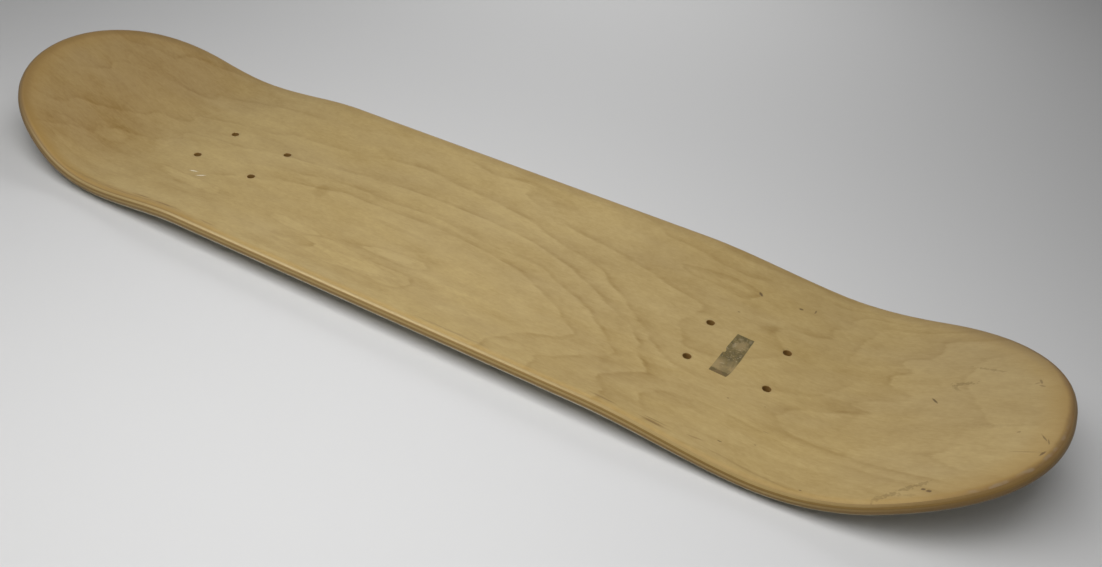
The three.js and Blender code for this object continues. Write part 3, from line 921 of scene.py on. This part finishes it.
def worn_edges(shader, finish, colour, tail, nose):
    """The top face towards the rim: warmer lacquer beside it, painted shade beside the rim at the ends, along
    the tail's near side and on the far side, streaks, and the rounding, which is worn most at the tips and
    darkened as painted shade where the rail's sheen fades and along the tail's near side. Gives the
    colour, the share of the rounding, and how dull that is."""
    rim, out = shader.attribute("rim"), shader.s.size()
    ends, tip, dull = out.rise(*END_WEAR_AND_SHADE), out.rise(*TIP_WEAR), out.rise(*RAIL_DULLING_AND_SHADE)
    far = shader.y.rise(15, 75)
    near_tail = shader.y.rise(-60, -85) * shader.s.rise(-115, -180)
    reach = rim + shader.noise(14, 14, 16, detail=3) * 4
    beside, band = reach.rise(12, 4), reach.rise(26, 4) * ends
    cool = far * ends
    fade = 1 - cool * 0.6
    warm = reach.rise(8, 0) * (tail * 0.2 + 0.42) + band * 0.42 + reach.rise(12, 6) * near_tail * 0.4
    # Painted shade: shadow darkens beside the rim at the ends and along the tail's near side
    shadow = beside * (ends * 0.16 + near_tail * 0.16) + band * (tail * 0.1 + 0.06)
    # Painted shade: dim darkens the far side beside the rim, most at the ends and towards the nose
    dim = beside * (far * 0.24 + cool * 0.2) + reach.rise(18, 6) * far * nose * 0.12
    tail_tip = (rim + shader.noise(9, 9, 30, detail=3) * 2).rise(11, 2.5) * shader.s.rise(-320, -375)
    streaks = shader.marks(RIM_STREAKS, shader.noise(9, 0.9, 18, detail=3) * 2.2, soft=0.2)
    rounding = shader.depth.rise(0.15, 1.3)
    # worn darkens the rounding: wear at the tips and towards the tail, and painted shade where the rail's
    # sheen fades and along the tail's near side
    worn = tip * 0.6 + tail * 0.3 + dull * 0.14 + near_tail * 0.5 + 0.04
    chafed = (rim + shader.noise(12, 12, 28, detail=3) * 3.5).rise(5.5, 1.8) * shader.s.rise(325, 410)
    bruised = shader.noise(16, 16, 26, detail=3).rise(-0.02, 0.12) * tip * rounding
    rubbed = (rim + shader.noise(9, 9, 23, detail=4) * 3 - 2.4).size().rise(1.3, 0.2)
    near_nose = shader.s.rise(345, 375) * shader.y.rise(10, -30)
    scuffed = near_nose * shader.noise(8, 8, 27, detail=4).rise(-0.08, 0.1)
    colour = shader.coats(
        colour,
        ((warm * fade).clamp(), finish.warm_rim),
        (shadow * fade, finish.worn_and_shaded_rim),
        (dim, PAINTED_FAR_SHADE),
        (tail_tip * 0.52, finish.worn_and_shaded_rim),
        (streaks * 0.85, finish.worn_and_shaded_rim),
        ((rounding * worn).clamp(), finish.worn_and_shaded_rim),
        (chafed * 0.74, CHAFED_TIP),
        (bruised * 0.4, tinted(finish.worn_and_shaded_rim, (1.25, 0.95, 0.7))),
        (rubbed * scuffed * 0.5, SCUFFED_RIM),
    )
    return colour, rounding, dull * 0.34 + near_tail * 0.25 - 0.14


def top_material(finish):
    """Lacquered plain-sliced maple: its figure, a warmer rim, wear round the tips and the bolts, and small
    dents, scratches and smudges, with painted shade at the ends, beside the rim and on the far side, and a
    painted pool of light in the middle."""
    shader = Shader("lacquered maple")
    tail, nose = shader.s.rise(*TAIL_TONE), shader.s.rise(*NOSE_TONE)
    colour, fibres, clouds = figured_wood(shader, finish, tail, nose)
    colour, rounding, dulled = worn_edges(shader, finish, colour, tail, nose)
    ragged = shader.noise(0.9, 0.9, 19, detail=2) * 0.9
    dent = shader.marks(DENTS, ragged)
    scratch = shader.marks(SCRATCHES, ragged)
    smudge = shader.marks(SMUDGES, shader.noise(1.8, 1.8, 29, detail=2) * 4.2)
    bolt = shader.attribute("bolt")
    wall = bolt.rise(3.1, 2.85)
    handled = (bolt + shader.noise(2, 2, 20) * 1.5).rise(5.4, 2.8) * 0.12
    colour = shader.coats(
        colour,
        (smudge * 0.38, SMUDGED_WOOD),
        (dent * 0.85, DENTED_WOOD),
        (scratch * 0.9, SCRATCHED_LACQUER),
        (handled, HANDLED_WOOD),
        (wall * 0.9, finish.bolt_wood),
    )
    roughness = 0.42 + fibres * 0.18 + clouds * 0.12 + wall * 0.25 + smudge * 0.15 + rounding * dulled
    height = fibres * 0.6 + shader.noise(6, 0.5, 21) * 0.4 - dent * 1.5 - scratch * 0.8
    return shader.finish(colour, roughness, height)


def edge_wood(name, finish, wood, tint, seed):
    """The sanded edge of a veneer, which is what shows of the inner ones: fibres that run with the rim,
    thin dark glue lines, and worn tips, where the wood is cut across and takes a tint. Gives the shader,
    the colour, the fibres and the share of the ends."""
    shader = Shader(name)
    fibres = shader.noise(16, 16, seed, detail=3, down=0.35) * 0.5
    fibres = fibres + shader.noise(2.2, 2.2, seed + 1, detail=2, down=0.9) * 0.3
    ends = shader.s.size().rise(*EDGE_WEAR)
    colour = shader.coats(wood, (ends, tinted(wood, tint)), (ends * 0.55, finish.worn_and_shaded_rim))
    fibre_wood = shader.mix(1.0, colour, (0.50, 0.42, 0.30), blend="MULTIPLY")
    ply = shader.attribute("ply")
    glue = ply.rise(0.10, 0.0) + ply.rise(0.90, 1.0)
    colour = shader.coats(colour, ((fibres + 0.24).clamp(), fibre_wood), (glue * 0.4, GLUE_LINE))
    return shader, colour, fibres, ends


def bolt_wall(shader, finish):
    """A coat of darker wood for the walls of the bolt holes."""
    return shader.attribute("bolt").rise(3.6, 3.0) * 0.85, finish.bolt_wood


def inner_material(name, finish, wood, tint, seed):
    """Edge of an inner veneer, with the underside's pale paint, which laps up the lower rounding to a wavy
    edge and is worn off the tips."""
    shader, colour, fibres, ends = edge_wood(name, finish, wood, tint, seed)
    wavy = shader.noise(24, 24, 31, detail=3, down=24) * 1.3 + ends * 0.9
    worn = shader.noise(7, 7, 32, detail=4).rise(0.08, 0.22) * (0.25 + ends * 0.6)
    painted = (shader.depth - wavy).rise(7.4, 8.0) * (1 - worn)
    colour = shader.coats(colour, (painted, finish.paint), bolt_wall(shader, finish))
    return shader.finish(colour, 0.46 + fibres * 0.2 + painted * 0.06, fibres, 0.04)


def bottom_material(finish):
    """The painted underside: pale paint with the grain showing faintly through, rubbed at the rim and
    tips and marked where the trucks were bolted on."""
    shader, colour, fibres, ends = edge_wood("painted maple", finish, finish.rim_light, (0.75, 0.68, 0.6), 41)
    grain = shader.noise(60, 1.8, 42, detail=3)
    uneven = (grain * 0.5 + shader.noise(140, 60, 43) * 0.7 + 0.35).clamp()
    paint = shader.mix(uneven, finish.paint, tinted(finish.paint, (0.8, 0.78, 0.74)))
    ragged = shader.attribute("rim") + shader.noise(10, 10, 44, detail=4) * 8
    scraped = shader.noise(26, 2.2, 45, detail=3).rise(0.24, 0.34)
    worn = (ragged.rise(1.6, 0.2) * ends + scraped * 0.5).clamp()
    washer = (shader.attribute("bolt") + shader.noise(3, 3, 46) * 1.2).rise(6.5, 4.5)
    coats = ((1 - worn) * 0.95, paint), (washer * 0.3, WASHER_PRINT), bolt_wall(shader, finish)
    colour = shader.coats(colour, *coats)
    return shader.finish(colour, 0.5 + grain * 0.15 + worn * 0.1, grain + fibres * 0.4)


def label_material(finish):
    """Rubbed dark film: mottled print, pale worn patches and specks, a bare strip and darker corners."""
    shader = Shader("worn print")
    up = shader.attribute("up")
    mottle = shader.noise(3.2, 3.2, 51, detail=4) + shader.noise(1.0, 1.0, 52, detail=3) * 0.8
    faded = tinted(finish.label_ink, (2.0, 1.85, 1.6))
    low = up.rise(-0.02, -0.34)
    pale = (low * 0.75 + shader.noise(6, 8, 53, detail=3) * 2.2 * (0.3 + low) + 0.02).clamp()
    patch = shader.mark(*LABEL_PATCH, shader.noise(2.6, 2.6, 54, detail=4, roughness=0.7) * 2.6)
    specks = shader.noise(1.2, 1.2, 57, detail=3).rise(0.08, 0.2) * shader.noise(5, 5, 58).rise(-0.1, 0.15)
    strip = (up + shader.noise(3, 3, 59, detail=3) * 0.04).rise(-0.41, -0.44)
    spots = shader.marks(LABEL_SPOTS, shader.noise(1.1, 1.1, 55, detail=2) * 1.1)
    corners = shader.marks(LABEL_CORNERS, shader.noise(1.6, 1.6, 56, detail=3) * 1.3)
    colour = shader.coats(
        shader.mix((mottle * 2.0 + 0.35).clamp(), finish.label_ink, faded),
        (pale, finish.label_worn),
        (patch * 0.75, finish.label_worn),
        (specks * 0.7, LABEL_SPECKS),
        (strip * 0.75, LABEL_STRIP),
        (spots * 0.6, LABEL_SPOT),
        (corners * 0.7, finish.label_ink),
    )
    return shader.finish(colour, 0.5 + mottle * 0.2 + pale * 0.12, mottle)


class DeckFinish(bpy.types.PropertyGroup):
    """Colours and finish of the wood, the paint and the label."""

    pale_wood: colour("Pale wood", "The lightest tone of the top face", (0.478, 0.353, 0.148))
    grey_wood: colour("Grey wood", "The greyer patches of the top face", (0.358, 0.268, 0.144))
    warm_rim: colour("Warm rim", "The tone of the top face beside the rim", (0.385, 0.24, 0.066))
    # The worn rim's tone is also the tint of the painted shade beside the rim and on the rounding
    worn_and_shaded_rim: colour("Worn rim", "The rounding at the tips, where the lacquer is dark", (0.20, 0.118, 0.038))
    bolt_wood: colour("Bolt holes", "The raw wood inside the bolt holes", (0.26, 0.14, 0.036))
    rim_light: colour("Edge along the grain", "Veneers whose grain runs along the board", (0.39, 0.28, 0.108))
    rim_dark: colour("Edge across the grain", "Veneers whose grain runs across", (0.26, 0.158, 0.043))
    paint: colour("Paint", "The underside", (0.60, 0.555, 0.44))
    label_ink: colour("Label print", "The dark of the worn label", (0.090, 0.070, 0.027))
    label_worn: colour("Label wear", "Where the label is rubbed pale", (0.285, 0.21, 0.095))
    growth_contrast: FloatProperty(
        name="Growth rings", description="How strongly the growth rings show", default=1.0, min=0, max=3
    )


def veneer_piece(number, material, extra=None):
    """One veneer of the layup as a piece."""
    node, slot, _ = LAYUP[number]
    board = Board(bpy.context.scene.deck_sizes)
    upper, lower = board.depths[number], board.depths[number + 1]
    blank, triangles = veneer_sheet(board, upper, lower)
    attributes = wood_attributes(board, blank, upper, lower)
    if extra:
        attributes.update(extra(blank))
    piece = new_piece(node + "_wood", board.press(blank), triangles, attributes)
    place_piece(piece, node, material)


def nearest_patch(table, s, y):
    """For each place, the size of the ellipse through it about the nearest patch, 1 being the patch's own
    outline, and that patch's strength."""
    along, across, half_length, half_width, turn, strength = np.array(table, float).T
    sin, cos = np.sin(np.radians(turn)), np.cos(np.radians(turn))
    out_s, out_y = s[:, None] - along, y[:, None] - across
    size = np.hypot((out_s * cos + out_y * sin) / half_length, (out_y * cos - out_s * sin) / half_width)
    nearest = size.argmin(axis=1)
    return np.column_stack([size.min(axis=1), strength[nearest], np.zeros(len(s))])


def face_attributes(blank):
    """What only the top face shows: the growth field, the islands and the shades at each point."""
    s, y = blank[:, 0] / MM, blank[:, 1] / MM
    height, slope_s, slope_y, strength = GrowthField().sample(s, y)
    return {
        "ring": height,
        "ring_slope": np.column_stack([slope_s, slope_y, strength]),
        "islands": nearest_patch(ISLANDS, s, y),
        "shades": nearest_patch(SHADES, s, y),
    }


class DECK_OT_top_veneer(bpy.types.Operator):
    """Adds the top veneer with its growth rings, wear and marks"""

    bl_idname = "deck.top_veneer"
    bl_label = "Top veneer"

    def execute(self, context):
        veneer_piece(0, top_material(context.scene.deck_finish), face_attributes)
        return {"FINISHED"}


class DECK_OT_inner_veneers(bpy.types.Operator):
    """Adds the five veneers between the faces"""

    bl_idname = "deck.inner_veneers"
    bl_label = "Inner veneers"

    def execute(self, context):
        finish = context.scene.deck_finish
        materials = {
            CORE: inner_material("core edge", finish, finish.rim_light, (0.72, 0.66, 0.6), 61),
            CROSSBAND: inner_material("crossband edge", finish, finish.rim_dark, (1.12, 1.16, 1.2), 71),
        }
        for number in range(1, len(LAYUP) - 1):
            veneer_piece(number, materials[LAYUP[number][2]])
        return {"FINISHED"}


class DECK_OT_bottom_veneer(bpy.types.Operator):
    """Adds the painted bottom veneer"""

    bl_idname = "deck.bottom_veneer"
    bl_label = "Bottom veneer"

    def execute(self, context):
        veneer_piece(len(LAYUP) - 1, bottom_material(context.scene.deck_finish))
        return {"FINISHED"}


def label_film(label, board):
    """The label as a closed sheet in blank coordinates: a grid of heights up its long side by shares of its
    width between the torn sides, turned and moved to its place, once on the wood and once the film's
    thickness above it. Gives the sheet, and each point's share up the length from the middle."""
    torn_heights = [height for height, _ in LABEL_LEFT_SHARES + LABEL_RIGHT_SHARES]
    rows = np.unique(np.concatenate([np.linspace(-0.5, 0.5, LABEL_ROWS + 1), torn_heights]))
    left = np.interp(rows, *np.transpose(LABEL_LEFT_SHARES))
    right = np.interp(rows, *np.transpose(LABEL_RIGHT_SHARES))
    wide = left[:, None] + (right - left)[:, None] * np.linspace(0, 1, LABEL_COLUMNS + 1)
    long = np.repeat(rows[:, None], wide.shape[1], axis=1)
    u, v = wide * label.width, long * label.length
    sin, cos = math.sin(label.turn), math.cos(label.turn)
    s = board.truck + label.along + u * cos - v * sin
    y = label.across + u * sin + v * cos
    sheet = Sheet()
    top = sheet.add(s, y, -label.thickness)
    bottom = sheet.add(s, y, 0)
    sheet.quads(grid_quads(top, flip=True))
    sheet.quads(grid_quads(bottom))
    for over, under in ((top, bottom), (top[::-1, ::-1], bottom[::-1, ::-1])):
        sheet.quads(grid_quads(np.stack([over[0], under[0]]), flip=True))
        sheet.quads(grid_quads(np.stack([over[:, -1], under[:, -1]]), flip=True))
    return sheet, np.tile(long.ravel(), 2)


class DECK_OT_label(bpy.types.Operator):
    """Adds the worn label between the nose's bolts"""

    bl_idname = "deck.label"
    bl_label = "Worn label"

    def execute(self, context):
        board = Board(context.scene.deck_sizes)
        sheet, up = label_film(context.scene.deck_label, board)
        blank, triangles = np.concatenate(sheet.points), np.concatenate(sheet.triangles)
        attributes = {"blank": blank / MM, "up": up}
        piece = new_piece("worn_label_film", board.press(blank), triangles, attributes)
        place_piece(piece, "worn_label", label_material(context.scene.deck_finish))
        return {"FINISHED"}


# The camera: its place in the board's frame in metres, its angles, and its lens and sensor in millimetres
CAMERA_PLACE = Vector((0.30722, -0.50609, 0.41965))
CAMERA_AZIMUTH = math.radians(25.09)
CAMERA_ELEVATION = math.radians(36.53)
CAMERA_ROLL = math.radians(6.5)
CAMERA_LENS = 32.76
CAMERA_SENSOR = 36
CAMERA_CLIP = (0.01, 50)

# The lights: name, place, target, size, watts, tint, and whether they light surfaces and their sheen
LIGHTS = (
    ("pool", (0.07, -0.3, 0.62), (0.07, -0.23, 0), (0.75, 0.5), 4.85, (1, 1, 1), True, False),
    ("back", (-0.2, 0.67, 0.6), (-0.2, 0.67, 0), (0.5, 0.5), 2.45, (1, 1, 1), True, False),
    ("window", (-0.59, -0.67, 0.84), (0, -0.1, 0), (0.5, 0.5), 25.0, (1.0, 0.85, 0.58), False, True),
)

# The floor, and the world's grey as the surfaces are lit by it and as it is seen
FLOOR_SIZE = 20
FLOOR_GREY = 0.66
WORLD_LIT_GREY = 0.1
WORLD_SEEN_GREY = 0.5


def add_camera():
    """The camera at the photograph's place, turned by its azimuth, elevation and roll."""
    data = bpy.data.cameras.new("camera")
    data.lens = CAMERA_LENS
    data.sensor_width = CAMERA_SENSOR
    data.clip_start, data.clip_end = CAMERA_CLIP
    camera = bpy.data.objects.new("camera", data)
    level, up = math.cos(CAMERA_ELEVATION), math.sin(CAMERA_ELEVATION)
    back = Vector((math.sin(CAMERA_AZIMUTH) * level, -math.cos(CAMERA_AZIMUTH) * level, up))
    turn = back.to_track_quat("Z", "Y").to_matrix() @ Matrix.Rotation(CAMERA_ROLL, 3, "Z")
    camera.matrix_world = Matrix.Translation(CAMERA_PLACE) @ turn.to_4x4()
    bpy.context.scene.collection.objects.link(camera)
    bpy.context.scene.camera = camera


def add_light(name, place, target, size, power, tint, diffuse, glossy):
    """An area light at a place, aimed at a target, which lights the surfaces, their sheen or both."""
    light = bpy.data.lights.new(name, "AREA")
    light.energy = power
    light.color = tint
    light.shape = "RECTANGLE"
    light.size, light.size_y = size
    lamp = bpy.data.objects.new(name, light)
    lamp.visible_diffuse = diffuse
    lamp.visible_glossy = glossy
    lamp.visible_camera = False
    aim = (Vector(place) - Vector(target)).to_track_quat("Z", "Y")
    lamp.matrix_world = Matrix.Translation(place) @ aim.to_matrix().to_4x4()
    bpy.context.scene.collection.objects.link(lamp)


def floor_material():
    """Plain pale grey."""
    material = bpy.data.materials.new("studio floor")
    material.use_nodes = True
    surface = material.node_tree.nodes["Principled BSDF"]
    surface.inputs["Base Color"].default_value = (FLOOR_GREY, FLOOR_GREY, FLOOR_GREY, 1)
    surface.inputs["Roughness"].default_value = 0.9
    surface.inputs["Specular IOR Level"].default_value = 0.1
    return material


def backdrop():
    """A dim grey world that the camera, sheen and clear things see as pale."""
    world = bpy.data.worlds.new("studio")
    world.use_nodes = True
    tree = world.node_tree
    sight = tree.nodes.new("ShaderNodeLightPath")
    seen = 0.0
    for ray in ("Is Camera Ray", "Is Glossy Ray", "Is Transmission Ray"):
        seen = Signal(tree, sight.outputs[ray]).math("MAXIMUM", seen)
    lit_grey, seen_grey = ((grey, grey, grey, 1) for grey in (WORLD_LIT_GREY, WORLD_SEEN_GREY))
    tone = wire(tree, "Mix", {0: seen, 6: lit_grey, 7: seen_grey}, 2, data_type="RGBA")
    plug(tree, tone, tree.nodes["Background"].inputs["Color"])
    return world


class DECK_OT_stage(bpy.types.Operator):
    """Adds the pale floor, the soft lights, the backdrop and the camera"""

    bl_idname = "deck.stage"
    bl_label = "Stage"

    def execute(self, context):
        bpy.ops.mesh.primitive_plane_add(size=FLOOR_SIZE)
        floor = context.object
        floor.name = "floor"
        floor.data.materials.append(floor_material())
        for light in LIGHTS:
            add_light(*light)
        add_camera()
        context.scene.world = backdrop()
        context.scene.view_settings.view_transform = "Standard"
        return {"FINISHED"}


class DECK_PT_sidebar(bpy.types.Panel):
    """Lists the deck's operators and sizes"""

    bl_idname = "DECK_PT_sidebar"
    bl_label = "Maple Skateboard Deck"
    bl_space_type = "VIEW_3D"
    bl_region_type = "UI"
    bl_category = "Deck"

    def draw(self, context):
        for operator in OPERATORS:
            self.layout.operator(operator.bl_idname)
        for group in GROUPS:
            values = getattr(context.scene, group)
            box = self.layout.box()
            for name in values.bl_rna.properties.keys():
                if name not in ("rna_type", "name"):
                    box.prop(values, name)


GROUPS = {"deck_sizes": DeckSizes, "deck_label": DeckLabel, "deck_finish": DeckFinish}
OPERATORS = (
    DECK_OT_top_veneer,
    DECK_OT_inner_veneers,
    DECK_OT_bottom_veneer,
    DECK_OT_label,
    DECK_OT_stage,
)
CLASSES = (*GROUPS.values(), *OPERATORS, DECK_PT_sidebar)


def register():
    """Makes the classes known to Blender and hangs the property groups on the scene."""
    for each in CLASSES:
        bpy.utils.register_class(each)
    for name, group in GROUPS.items():
        setattr(bpy.types.Scene, name, PointerProperty(type=group))


def unregister():
    """Takes back what register did."""
    for name in GROUPS:
        delattr(bpy.types.Scene, name)
    for each in reversed(CLASSES):
        bpy.utils.unregister_class(each)


def main():
    """Builds the board and its stage."""
    register()
    bpy.ops.deck.top_veneer()
    bpy.ops.deck.inner_veneers()
    bpy.ops.deck.bottom_veneer()
    bpy.ops.deck.label()
    bpy.ops.deck.stage()


if __name__ == "__main__":
    main()
